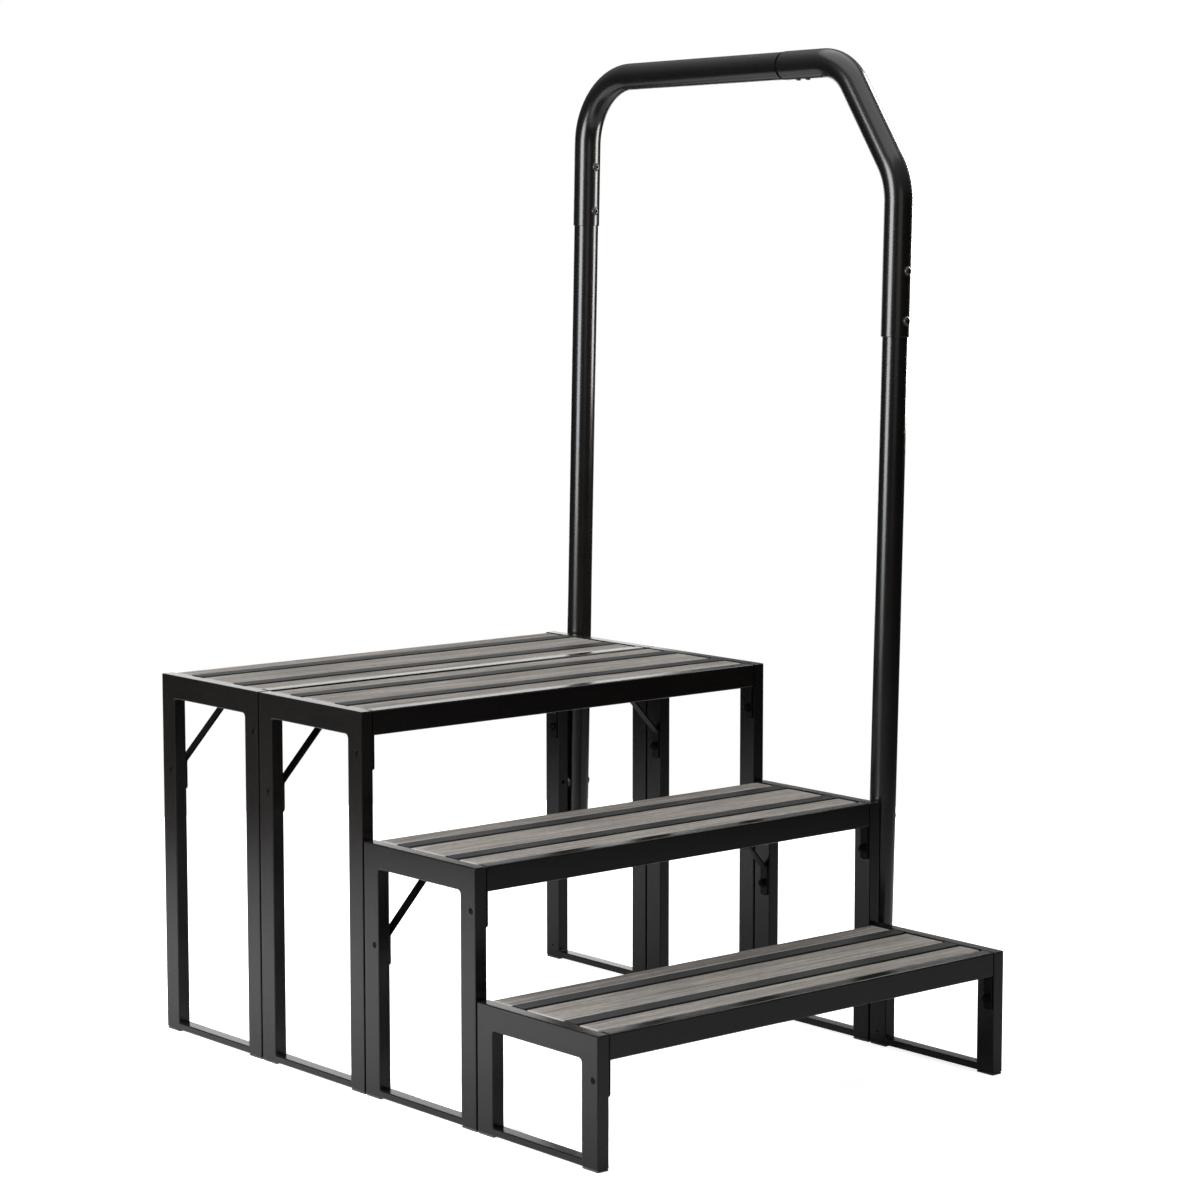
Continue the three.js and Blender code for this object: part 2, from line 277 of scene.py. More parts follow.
COAT = powder_coat(
    "frame_powder_coat", (0.0026, 0.0022, 0.0020), (0.0040, 0.0035, 0.0032), 0.22, 0.15)
TUBE_COAT = powder_coat(
    "tube_powder_coat", (0.0026, 0.0023, 0.0021), (0.0038, 0.0034, 0.0031), 0.23, 0.36, 0.000001)
SLAT_COAT = powder_coat(
    "slat_coat", (0.008, 0.0082, 0.0086), (0.020, 0.0203, 0.021), 0.52, 0.04)
BRACE_COAT = powder_coat(
    "brace_powder_coat", (0.0018, 0.0017, 0.0016), (0.0030, 0.0028, 0.0027), 0.34, 0.05)
# A darker copy of the frame coat: painted shade on the tabs under the rails and on the nuts there.
SHADE_DARKENED_TAB_COAT = powder_coat(
    "tab_coat_with_painted_shade", (0.0012, 0.0011, 0.0011), (0.0020, 0.0019, 0.0018), 0.50, 0.06)
BOARD = weathered_board()
BOLT_STEEL = steel("bolt_steel", (0.045, 0.044, 0.042), 0.24, 0.7)
DARK_STEEL = steel("blackened_steel", (0.022, 0.021, 0.020), 0.36, 0.5)
FOOT_PLASTIC = moulded_plastic("foot_plastic", (0.014, 0.014, 0.0145), 0.55)


# ---------------------------------------------------------------- mesh building
SAME_PLACE = 1e-7


def piece(name, bm, material, sharp=32):
    """Turns a bmesh into a shaded piece that rides on the frame."""
    bmesh.ops.remove_doubles(bm, verts=bm.verts, dist=SAME_PLACE)
    bmesh.ops.recalc_face_normals(bm, faces=bm.faces)
    obj = as_object(bm, name)
    mesh = obj.data
    mesh.polygons.foreach_set("use_smooth", [True] * len(mesh.polygons))
    mesh.set_sharp_from_angle(angle=math.radians(sharp))
    mesh.materials.append(material)
    normals = obj.modifiers.new("normals", "WEIGHTED_NORMAL")
    normals.keep_sharp = True
    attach(obj, "root")
    return obj


def as_object(bm, name):
    """Moves a bmesh into a new object of the scene."""
    mesh = bpy.data.meshes.new(name)
    bm.to_mesh(mesh)
    bm.free()
    obj = bpy.data.objects.new(name, mesh)
    bpy.context.scene.collection.objects.link(obj)
    return obj


def round_edges(bm, edges, width, segments):
    bmesh.ops.bevel(
        bm, geom=edges, offset=width * MM, offset_type="OFFSET", segments=segments,
        profile=0.5, affect="EDGES", clamp_overlap=True,
    )


def sharp_edges(bm, degrees=40):
    limit = math.radians(degrees)
    return [e for e in bm.edges if len(e.link_faces) == 2 and e.calc_face_angle(0) > limit]


def merge(bm, part):
    """Adds one bmesh to another and frees it."""
    temp = bpy.data.meshes.new("part")
    part.to_mesh(temp)
    part.free()
    bm.from_mesh(temp)
    bpy.data.meshes.remove(temp)


def block(bm, lo, hi, radius, segments):
    """A box in millimetres with all its edges rounded, or left sharp if radius is 0."""
    part = bmesh.new()
    bmesh.ops.create_cube(part, size=1.0)
    size = Vector(hi) - Vector(lo)
    centre = (Vector(hi) + Vector(lo)) / 2
    for v in part.verts:
        v.co = at(*(centre[i] + v.co[i] * size[i] for i in range(3)))
    if radius:
        round_edges(part, part.edges[:], radius, segments)
    merge(bm, part)


def axis_matrix(origin, direction):
    """A frame at origin (millimetres) whose Z runs along direction."""
    z = Vector(direction).normalized()
    x = z.orthogonal().normalized()
    y = z.cross(x)
    m = Matrix((x, y, z)).transposed().to_4x4()
    m.translation = at(*origin)
    return m


def circle(bm, matrix, reach, height, sides):
    """A ring of corners about the matrix's Z axis; reach(angle) is its radius in millimetres."""
    ring = []
    for k in range(sides):
        a = 2 * math.pi * k / sides
        r = reach(a)
        ring.append(bm.verts.new(matrix @ Vector((r * math.cos(a) * MM, r * math.sin(a) * MM, height * MM))))
    return ring


def hexagon(flat):
    """The reach of a hexagon whose flats lie at the given distance from its middle."""
    def reach(a):
        sector = (a + math.pi / 6) % (math.pi / 3) - math.pi / 6
        return flat / math.cos(sector)
    return reach


def skin(bm, rings):
    """Joins each ring of corners to the next; a ring of one corner closes to a point."""
    for a, b in zip(rings, rings[1:]):
        count = max(len(a), len(b))
        for k in range(count):
            j = (k + 1) % count
            corners = dict.fromkeys((a[k % len(a)], a[j % len(a)], b[j % len(b)], b[k % len(b)]))
            if len(corners) > 2:
                bm.faces.new(list(corners))


def lathe(bm, matrix, profile, sides=24):
    """Revolves (radius, height) points in millimetres about the matrix's Z axis."""
    rings = []
    for r, h in profile:
        if r == 0:
            rings.append([bm.verts.new(matrix @ Vector((0, 0, h * MM)))])
        else:
            rings.append(circle(bm, matrix, lambda a, r=r: r, h, sides))
    skin(bm, rings)


def dome_head(bm, matrix, radius, height, socket, sides=32):
    """Button head: rounded crown with a hexagonal socket sunk in its middle."""
    skirt, socket_floor, crown_steps, crown_angle = 0.22, 0.35, 6, math.radians(62)
    mouth = socket * 1.25
    crown = [(0.0, 0.02), (radius, 0.02), (radius, height * skirt)]
    for k in range(1, crown_steps + 1):
        a = k / crown_steps * crown_angle
        inward = (1 - math.cos(a)) / (1 - math.cos(crown_angle))
        upward = math.sin(a) / math.sin(crown_angle)
        crown.append((radius - (radius - mouth) * inward, height * (skirt + (1 - skirt) * upward)))
    lathe(bm, matrix, crown, sides)
    outer = circle(bm, matrix, lambda a: mouth, height, sides)
    upper = circle(bm, matrix, hexagon(socket), height, sides)
    lower = circle(bm, matrix, hexagon(socket), height * socket_floor, sides)
    skin(bm, [outer, upper, lower])
    bm.faces.new(lower)


def hex_nut(bm, matrix, across, height, bore):
    """Hexagonal nut with chamfered corners, a locking collar round the bore and the bolt's end in it."""
    sides = 36
    flat = across / 2
    corner = flat / math.cos(math.pi / 6)
    rings = []
    for level, share in ((0.0, 0.94), (0.12, 1.0), (0.80, 1.0), (0.92, 0.93)):
        def reach(a, share=share):
            return min(hexagon(flat)(a), corner * share)
        rings.append(circle(bm, matrix, reach, level * height, sides))
    skin(bm, rings)
    bm.faces.new(rings[0])
    bm.faces.new(rings[-1])
    collar = [
        (bore * 1.45, height * 0.85), (bore * 1.45, height * 1.05), (bore * 1.2, height * 1.12),
        (bore, height * 1.1), (bore, height * 0.9),
    ]
    lathe(bm, matrix, [*collar, collar[0]], sides)
    threads(bm, matrix, bore * 0.96, height * 0.9, height * 1.55)


def threads(bm, matrix, radius, low, high):
    """Bolt end with turned thread crests and a chamfered tip."""
    pitch, root, tip = 1.0, 0.86, 0.4
    profile = [(0.0, low), (radius * 0.88, low)]
    level = low
    while level + pitch < high - tip:
        profile += [(radius, level + pitch * 0.5), (radius * root, level + pitch)]
        level += pitch
    profile += [(radius * 0.8, high), (0.0, high)]
    lathe(bm, matrix, profile)


def washer(bm, matrix, radius, thick):
    """Flat washer with eased edges."""
    profile = [
        (0.0, 0.0), (radius - 0.2, 0.0), (radius, 0.2),
        (radius, thick - 0.25), (radius - 0.3, thick), (0.0, thick),
    ]
    lathe(bm, matrix, profile, 32)


def extruded(outline, x0, x1):
    """A solid whose outline, faces in (Y, Z), runs from x0 to x1."""
    bm = bmesh.new()
    corners = {}
    for face in outline:
        verts = []
        for y, z in face:
            key = (round(y, 3), round(z, 3))
            if key not in corners:
                corners[key] = bm.verts.new(at(x0, y, z))
            if corners[key] not in verts:
                verts.append(corners[key])
        bm.faces.new(verts)
    grown = bmesh.ops.extrude_face_region(bm, geom=bm.faces[:])
    moved = [g for g in grown["geom"] if isinstance(g, bmesh.types.BMVert)]
    bmesh.ops.translate(bm, verts=moved, vec=Vector(((x1 - x0) * MM, 0, 0)))
    bmesh.ops.recalc_face_normals(bm, faces=bm.faces)
    return bm


def cut_holes(bm, holes):
    """Sinks round holes, each (centre, direction, radius, depth) in millimetres, into a solid."""
    bmesh.ops.recalc_face_normals(bm, faces=bm.faces)
    body = as_object(bm, "body")
    cutter = bmesh.new()
    clearance, sides = 2, 20
    for centre, direction, radius, depth in holes:
        drill = [(0, -depth), (radius, -depth), (radius, clearance), (0, clearance)]
        lathe(cutter, axis_matrix(centre, direction), drill, sides)
    bmesh.ops.remove_doubles(cutter, verts=cutter.verts, dist=SAME_PLACE)
    bmesh.ops.recalc_face_normals(cutter, faces=cutter.faces)
    tool = as_object(cutter, "cutter")
    cut = body.modifiers.new("cut", "BOOLEAN")
    cut.operation = "DIFFERENCE"
    cut.solver = "EXACT"
    cut.object = tool
    bpy.context.view_layer.update()
    evaluated = body.evaluated_get(bpy.context.evaluated_depsgraph_get())
    mesh = bpy.data.meshes.new_from_object(evaluated)
    result = bmesh.new()
    result.from_mesh(mesh)
    for obj in (body, tool):
        old = obj.data
        bpy.data.objects.remove(obj)
        bpy.data.meshes.remove(old)
    bpy.data.meshes.remove(mesh)
    return result


def fillet(a, b, c, radius, steps=8):
    """Points of the arc that rounds corner b of the path a-b-c."""
    back, ahead = (a - b).normalized(), (c - b).normalized()
    half = back.angle(ahead) / 2
    centre = b + (back + ahead).normalized() * radius / math.sin(half)
    start = b + back * radius / math.tan(half) - centre
    end = b + ahead * radius / math.tan(half) - centre
    a0 = math.atan2(start.y, start.x)
    sweep = math.atan2(end.y, end.x) - a0
    sweep -= round(sweep / (2 * math.pi)) * 2 * math.pi
    angles = [a0 + sweep * k / steps for k in range(steps + 1)]
    return [centre + Vector((math.cos(angle), math.sin(angle))) * radius for angle in angles]


# ---------------------------------------------------------------- side frames
def frame_outline(y0, y1, height):
    """Faces of a side frame's outline in (Y, Z), sharing corners."""
    a, b, c, d = y0, y0 + LEG_DEEP, y1 - LEG_DEEP, y1
    top = height - SIDE_RAIL
    ff, rf = FRONT_FILLET, REAR_FILLET
    steps = 6

    def arc(cy, cz, r, start, end):
        angles = [start + (end - start) * k / steps for k in range(steps + 1)]
        return [(cy + r * math.cos(angle), cz + r * math.sin(angle)) for angle in angles]

    front = arc(b + ff, top - ff, ff, math.pi, math.pi / 2)
    rear = arc(c - rf, top - rf, rf, math.pi / 2, 0)
    return [
        [(a, BAR_LOW), (b, BAR_LOW), (b, BAR_HIGH), (a, BAR_HIGH)],
        [(a, BAR_HIGH), (b, BAR_HIGH), (b, top - ff), (a, top - ff)],
        [(a, top - ff), *front, (b + ff, height), (a, height)],
        [(b + ff, top), (c - rf, top), (c - rf, height), (b + ff, height)],
        [(c - rf, height), *rear, (d, top - rf), (d, height)],
        [(c, top - rf), (c, BAR_HIGH), (d, BAR_HIGH), (d, top - rf)],
        [(c, BAR_HIGH), (c, BAR_LOW), (d, BAR_LOW), (d, BAR_HIGH)],
        [(b, BAR_LOW), (c, BAR_LOW), (c, BAR_HIGH), (b, BAR_HIGH)],
    ]


def fixing_places(module, side):
    """The (Y, Z, gap behind the tab) of each fixing of a side frame."""
    lo, hi = span(f"{module}_{side}_side_frame")
    places = [(lo.y + TAB_CENTRE_FRONT, hi.z - FRONT_BOLT_DROP[side], TAB_GAP_FRONT)]
    if module in BRACED:
        places.append((lo.y + TAB_CENTRE_REAR, hi.z - REAR_BOLT_DROP[side], TAB_GAP_REAR))
    return places


def faces_of(module, side):
    """Outward sign along X, and the X of the outer and the inner face of a side frame."""
    lo, hi = span(f"{module}_{side}_side_frame")
    return (-1, lo.x, hi.x) if side == "left" else (1, hi.x, lo.x)


def side_frame(module, side):
    node = f"{module}_{side}_side_frame"
    lo, hi = span(node)
    out, outer, inner = faces_of(module, side)
    bm = extruded(frame_outline(lo.y, hi.y, hi.z), lo.x, hi.x)
    round_edges(bm, sharp_edges(bm), FRAME_EDGE, 4)
    outward = (out, 0, 0)
    inward = (-out, 0, 0)
    holes = []
    for y, z, _ in fixing_places(module, side):
        holes.append(((outer, y, z), outward, SUNK_HOLE_R, SUNK_HOLE_DEPTH))
    middle = (lo.x + hi.x) / 2
    if side == "right" and hi.z > LINK_HOLE_DROP * 2:
        link = hi.z - LINK_HOLE_DROP
        holes.append(((middle, hi.y - LEG_DEEP, link), (0, -1, 0), LINK_HOLE_R, LINK_HOLE_DEPTH))
        holes.append(((middle, hi.y, link), (0, 1, 0), LINK_HOLE_R, LINK_HOLE_DEPTH))
    holes.append(((inner, hi.y - LEG_DEEP / 2, FOOT_HOLE_Z), inward, FOOT_HOLE_R, FOOT_HOLE_DEPTH))
    bm = cut_holes(bm, holes)
    obj = piece(node.replace("side_frame", "welded_frame"), bm, COAT)
    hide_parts(node)


def feet():
    """Moulded glides under the legs, with a rounded sole and a shadow gap below the steel.

    The sole and the plug above it are each given as (inset, low, top, edge radius).
    """
    sole, plug = (0.35, 0.0, 2.75, 1.25), (1.4, 2.0, 4.2, 0.0)
    bm = bmesh.new()
    for module in MODULES:
        for side in SIDES:
            lo, hi = span(f"{module}_{side}_side_frame")
            for y0 in (lo.y, hi.y - LEG_DEEP):
                y1 = y0 + LEG_DEEP
                for inset, low, top, radius in (sole, plug):
                    corner = (lo.x + inset, y0 + inset, low)
                    block(bm, corner, (hi.x - inset, y1 - inset, top), radius, 4)
    piece("foot_glides", bm, FOOT_PLASTIC)


# ---------------------------------------------------------------- cross rails and braces
def rounded_tab(bm, x0, x1, y0, y1, z0, z1, radius=4.0):
    """Flat tab hanging down, with its two lower corners rounded."""
    steps = 6
    outline = [(y1, z1), (y0, z1)]
    for cy, start in ((y0 + radius, math.pi), (y1 - radius, 1.5 * math.pi)):
        for k in range(steps + 1):
            a = start + math.pi / 2 * k / steps
            outline.append((cy + radius * math.cos(a), z0 + radius + radius * math.sin(a)))
    part = extruded([outline], x0, x1)
    round_edges(part, sharp_edges(part), 0.4, 2)
    # The tab takes the second material slot, the darker coat that paints shade on it.
    for face in part.faces:
        face.material_index = 1
    merge(bm, part)


def weld_bead(bm, start, end, radius, seed):
    """A run of overlapping weld ripples between two points in millimetres."""
    ripple_length, ripple_period, sides = 0.55, 2.6, 10
    rng = np.random.RandomState(seed)
    start, end = Vector(start), Vector(end)
    run = end - start
    count = max(6, int(run.length / ripple_length))
    profile = [(0.0, 0.0)]
    for k in range(count + 1):
        ripple = 0.86 + 0.14 * abs(math.sin(k * math.pi / ripple_period)) + rng.uniform(-0.04, 0.04)
        taper = min(1.0, 0.55 + 0.45 * min(k, count - k) / 2)
        profile.append((radius * ripple * taper, run.length * k / count))
    profile.append((0.0, run.length))
    lathe(bm, axis_matrix(start, run), profile, sides)


def front_rail(module):
    """Front cross rail with a bolting tab and a weld under each end."""
    node = f"{module}_front_rail"
    lo, hi = span(node)
    height = span(f"{module}_left_side_frame")[1].z
    low = height - SIDE_RAIL
    thick = TAB_THICK
    bm = bmesh.new()
    block(bm, (lo.x, lo.y, low), (hi.x, hi.y, height), 2.2, 5)
    for x0, inner in ((lo.x, lo.x + thick), (hi.x - thick, hi.x - thick)):
        rounded_tab(bm, x0, x0 + thick, lo.y + 2, lo.y + 16, lo.z, low + 3)
        weld_bead(bm, (inner, lo.y + 3, low), (inner, lo.y + 15, low), 1.3, int(inner))
    obj = piece(f"{module}_front_cross_rail", bm, COAT)
    # Second slot: the darker coat that paints shade on the tabs.
    obj.data.materials.append(SHADE_DARKENED_TAB_COAT)
    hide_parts(node)


def with_end_steps(points, length):
    """Adds close points at both ends of a path so that its ends can be rounded."""
    first = (points[1] - points[0]).normalized()
    last = (points[-2] - points[-1]).normalized()
    shares = (0.0, 0.04, 0.12, 0.25, 0.45, 0.7, 1.0)
    head = [points[0] + first * length * s for s in shares]
    tail = [points[-1] + last * length * s for s in reversed(shares)]
    return head + points[1:-1] + tail


def knee_brace(module, side):
    """Flat strip bent twice, with full bend radii and rounded ends."""
    node = f"{module}_{side}_knee_brace"
    lo, hi = span(node)
    thick, tab, reach, bend, corner = TAB_THICK, 30.0, 84.0, 5.5, 4.0
    low_bend = span(f"{module}_left_side_frame")[1].z - 128
    lower = [
        (thick, lo.z), (thick, low_bend), (thick + reach, hi.z - thick), (thick + reach + tab, hi.z - thick),
    ]
    line = []
    for i, (x, z) in enumerate(lower):
        before = Vector(lower[i]) - Vector(lower[i - 1]) if i else Vector(lower[1]) - Vector(lower[0])
        after = Vector(lower[i + 1]) - Vector(lower[i]) if i < 3 else before
        n0 = Vector((-before.y, before.x)).normalized()
        n1 = Vector((-after.y, after.x)).normalized()
        line.append(Vector((x, z)) + (n0 + n1) / (1 + n0.dot(n1)) * thick / 2)
    points = [line[0], *fillet(*line[0:3], bend), *fillet(*line[1:4], bend), line[3]]
    points = with_end_steps(points, 5.0)
    total = sum((b - a).length for a, b in zip(points, points[1:]))
    walked = 0.0
    half_width = (hi.y - lo.y) / 2
    middle = (hi.y + lo.y) / 2
    bm = bmesh.new()
    rings = []
    for i, p in enumerate(points):
        if i:
            walked += (points[i] - points[i - 1]).length
        ahead = points[min(i + 1, len(points) - 1)] - points[max(i - 1, 0)]
        normal = Vector((-ahead.y, ahead.x)).normalized() * thick / 2
        near = min(walked, total - walked)
        w = half_width - corner + math.sqrt(max(0.0, corner ** 2 - max(0.0, corner - near) ** 2))
        ring = []
        for sx, sy in ((-1, -1), (-1, 1), (1, 1), (1, -1)):
            x = p.x + normal.x * sx
            z = p.y + normal.y * sx
            x = lo.x + x if side == "left" else hi.x - x
            ring.append(bm.verts.new(at(x, middle + w * sy, z)))
        rings.append(ring)
    skin(bm, rings)
    bm.faces.new(rings[0])
    bm.faces.new(rings[-1])
    bmesh.ops.recalc_face_normals(bm, faces=bm.faces)
    round_edges(bm, sharp_edges(bm, 50), 0.35, 2)
    obj = piece(f"{module}_{side}_brace_strip", bm, BRACE_COAT)
    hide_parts(node)


# ---------------------------------------------------------------- boards
def smooth_noise(rng, nx, ny):
    """A seeded smooth field over the unit square, with nx by ny waves."""
    grid = rng.uniform(-1, 1, (nx + 3, ny + 3))

    def sample(u, v):
        x, y = u * nx, v * ny
        i, j = np.floor(x).astype(int), np.floor(y).astype(int)
        fx, fy = x - i, y - j
        fx, fy = fx * fx * (3 - 2 * fx), fy * fy * (3 - 2 * fy)
        a = grid[i, j] * (1 - fx) + grid[i + 1, j] * fx
        b = grid[i, j + 1] * (1 - fx) + grid[i + 1, j + 1] * fx
        return a * (1 - fy) + b * fy

    return sample


def board_section(lo, hi, radius):
    """A board's section in (Y, Z): eased corners, and close points across the top for the grain."""
    corner_steps, top_step = 5, 1.25
    flat = hi.y - lo.y - 2 * radius
    top_points = int(flat / top_step)
    section = []
    for cy, cz, start in (
        (hi.y - radius, hi.z - radius, 0.0), (lo.y + radius, hi.z - radius, 0.5),
        (lo.y + radius, lo.z + radius, 1.0), (hi.y - radius, lo.z + radius, 1.5),
    ):
        angles = [math.pi * (start + 0.5 * k / corner_steps) for k in range(corner_steps + 1)]
        section += [(cy + radius * math.cos(a), cz + radius * math.sin(a)) for a in angles]
        if start == 0.0:
            section += [(hi.y - radius - flat * k / top_points, hi.z) for k in range(1, top_points)]
    return section


def board(node, seed):
    """A tread board: eased edges and a brushed grain sunk a fraction of a millimetre into its top."""
    lo, hi = span(node)
    rng = np.random.RandomState(seed)
    wide, long = hi.y - lo.y, hi.x - lo.x
    cy, cz = (lo.y + hi.y) / 2, (lo.z + hi.z) / 2
    section = board_section(lo, hi, 2.2)
    count = int(long / 7)
    ends = (0.0, 0.25, 0.9, 2.0)
    xs = [*ends, *(long * k / count for k in range(1, count)), *(long - e for e in reversed(ends))]
    end_insets = {0: 1.1, 1: 0.6, 2: 0.2}
    grain_depth, coarse_sink, fine_sink = 1.2, 0.10, 0.09
    # Sizes of the pale edge band, which is partly wear and partly a painted highlight.
    wear_and_highlight_width, wear_and_highlight_depth, wear_and_highlight_below = 3.2, 6, 0.3
    coarse = smooth_noise(rng, int(long / 90), max(4, int(wide / 4.5)))
    fine = smooth_noise(rng, int(long / 30), max(8, int(wide / 1.6)))
    bm = bmesh.new()
    edge_values = []
    rings = []
    for i, x in enumerate(xs):
        end = end_insets.get(min(i, len(xs) - 1 - i), 0.0)
        ring = []
        for y, z in section:
            u = np.clip(x / long, 0, 0.9999)
            v = np.clip((y - lo.y) / wide, 0, 0.9999)
            flat = max(0.0, (z - hi.z + grain_depth) / grain_depth)
            sink = flat * (coarse_sink * (1 + coarse(u, v)) + fine_sink * (1 + fine(u, v)))
            yy = y - math.copysign(end, y - cy) if abs(y - cy) > end else y
            zz = z - math.copysign(end, z - cz) - sink
            ring.append(bm.verts.new(at(lo.x + x, yy, zz)))
            # Edge mask: partly wear, partly a painted highlight along the top edges and ends, weaker on the
            # faces below the top.
            border = min(y - lo.y, hi.y - y, min(x, long - x) * 0.9)
            edge_wear_and_highlight = float(np.clip(1.0 - border / wear_and_highlight_width, 0, 1)) ** 1.3
            edge_values.append(edge_wear_and_highlight * (1.0 if z > hi.z - wear_and_highlight_depth else wear_and_highlight_below))
        rings.append(ring)
    skin(bm, rings)
    bm.faces.new(rings[0])
    bm.faces.new(rings[-1])
    layer = bm.verts.layers.float.new("edge")
    for v, value in zip(bm.verts, edge_values):
        v[layer] = value
    obj = piece(node.replace("_board", "_plank"), bm, BOARD, sharp=50)
    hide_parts(node)


# ---------------------------------------------------------------- handrail
LEAN_ANGLE = math.atan(LEAN)
RAIL_RISE = (FRONT_TOP[1] - REAR_TOP) / (REAR_Y - FRONT_TOP[0])


def rail_height(y):
    """Height of the top rail's middle at a given Y."""
    return REAR_TOP + (REAR_Y - y) * RAIL_RISE


def leaning(y, z):
    """A point of the handrail's plane, which leans outwards."""
    return Vector((RAIL_X + math.sin(LEAN_ANGLE) * z, y, math.cos(LEAN_ANGLE) * z))


def tube(name, path, stations, node):
    """Sweeps circles along a path in the handrail's plane. Stations are (distance along, radius)."""
    lengths = [0.0]
    for a, b in zip(path, path[1:]):
        lengths.append(lengths[-1] + (b - a).length)
    total = lengths[-1]

    def place(s):
        """The point and the direction of the path at a distance along it."""
        s = min(max(s, 0.0), total)
        i = next((k for k in range(len(lengths) - 2, -1, -1) if lengths[k] <= s), 0)
        part = (s - lengths[i]) / max(lengths[i + 1] - lengths[i], 1e-9)
        p = path[i].lerp(path[i + 1], part)
        here = path[i + 1] - path[i]
        before = path[i] - path[i - 1] if i else here
        after = path[i + 2] - path[i + 1] if i + 2 < len(path) else here
        t0 = (before.normalized() + here.normalized()).normalized()
        t1 = (here.normalized() + after.normalized()).normalized()
        return p, t0.lerp(t1, part).normalized()

    bm = bmesh.new()
    normal = Vector((math.cos(LEAN_ANGLE), 0, -math.sin(LEAN_ANGLE)))
    rings = []
    for s, r in stations(total, lengths):
        p, t = place(s)
        centre = leaning(p.x, p.y)
        ahead = leaning(p.x + t.x, p.y + t.y) - centre
        side = normal.cross(ahead).normalized()
        if r == 0:
            rings.append([bm.verts.new(at(*centre))])
            continue
        angles = [2 * math.pi * k / TUBE_SIDES for k in range(TUBE_SIDES)]
        corners = [centre + normal * r * math.cos(a) + side * r * math.sin(a) for a in angles]
        rings.append([bm.verts.new(at(*corner)) for corner in corners])
    skin(bm, rings)
    obj = piece(name, bm, TUBE_COAT, sharp=40)
    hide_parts(node)


def open_end(radius, bore, depth):
    """Stations of a cut tube end: the bore, a small turned lip and the outer wall, from inside out."""
    wall = radius - bore
    inner, outer = min(0.5, wall * 0.35), min(0.9, wall * 0.5)
    return [
        (depth, 0.0), (depth, bore), (0.6, bore), (0.0, bore + inner),
        (0.0, radius - outer), (0.25, radius - outer * 0.4), (0.8, radius),
    ]


def tube_stations(radius, start, end):
    """Stations of a tube whose ends are given as distances from each end."""
    def stations(total, lengths):
        last = [(total - s, r) for s, r in reversed(end)]
        inner = [(s, radius) for s in lengths if start[-1][0] + 1 < s < last[0][0] - 1]
        return start + inner + last
    return stations


def corner_path(corners, steps):
    """A path through (point, radius) corners, each inner one rounded to its radius."""
    points = [Vector(corner[0]) for corner in corners]
    path = [points[0]]
    for i in range(1, len(corners) - 1):
        path += fillet(points[i - 1], points[i], points[i + 1], corners[i][1], steps)
    path.append(points[-1])
    return path


def handrail():
    """Two bent upper tubes, the rear one necked where it enters the front one, on two straight posts."""
    joint_z = rail_height(JOINT_Y)
    rear = corner_path([
        ((REAR_Y, REAR_SLEEVE), 0), ((REAR_Y, REAR_TOP), REAR_BEND),
        ((JOINT_Y - JOINT_INSIDE, joint_z + JOINT_INSIDE * RAIL_RISE), 0),
    ], 28)
    front = corner_path([
        ((JOINT_Y, joint_z), 0), (FRONT_TOP, TOP_BEND), ((FRONT_Y, SLOPE_END), LOW_BEND),
        ((FRONT_Y, FRONT_SLEEVE), 0),
    ], 22)
    groove = JOINT_INSIDE + JOINT_GROOVE
    necked = [
        (0.0, 0.0), (0.0, NECK_R - 1.2), (0.8, NECK_R), (groove, NECK_R),
        (groove + 0.1, REAR_R - 0.5), (groove + 0.5, REAR_R),
    ]
    rear_ring = tube_stations(REAR_R, open_end(REAR_R, POST_R + 0.35, 30), necked)
    tube("handrail_rear_bent_tube", rear, rear_ring, "handrail_rear_upper_tube")
    front_ring = tube_stations(
        FRONT_R, open_end(FRONT_R, NECK_R + 0.25, 34), open_end(FRONT_R, POST_R + 0.6, 30)
    )
    tube("handrail_front_bent_tube", front, front_ring, "handrail_front_upper_tube")
    post("rear", REAR_Y, REAR_FOOT, REAR_SLEEVE + POST_IN_SLEEVE, REAR_BOSSES)
    post("front", FRONT_Y, FRONT_FOOT, FRONT_SLEEVE + POST_IN_SLEEVE, FRONT_BOSSES)


def post(which, y, foot, top, bosses):
    """A straight post with its standoffs from the steps and the bolt heads on its outer side."""
    name = f"handrail_{which}_post"
    path = [Vector((y, foot)), Vector((y, (foot + top) / 2)), Vector((y, top))]
    ends = [(0.0, 0.0), (0.0, POST_R - 1.3), (0.35, POST_R - 0.4), (1.3, POST_R)]
    tube(name.replace("post", "straight_post"), path, tube_stations(POST_R, ends, ends), name)
    outward = (1, 0, 0)
    bm = bmesh.new()
    for z in bosses:
        centre = leaning(y, z).x
        reach = centre - STANDOFF_X
        boss = [(0, 0), (9.5, 0), (10, 0.4), (10, 2.2), (8.4, 2.6), (8, 3.2), (8, reach), (0, reach)]
        lathe(bm, axis_matrix((STANDOFF_X, y, z), outward), boss, 32)
        washer(bm, axis_matrix((centre + POST_R - 0.4, y, z), outward), 8.2, 1.4)
        dome_head(bm, axis_matrix((centre + POST_R + 1.0, y, z), outward), 6.4, 3.6, 2.5)
    piece(f"handrail_{which}_standoffs", bm, DARK_STEEL)


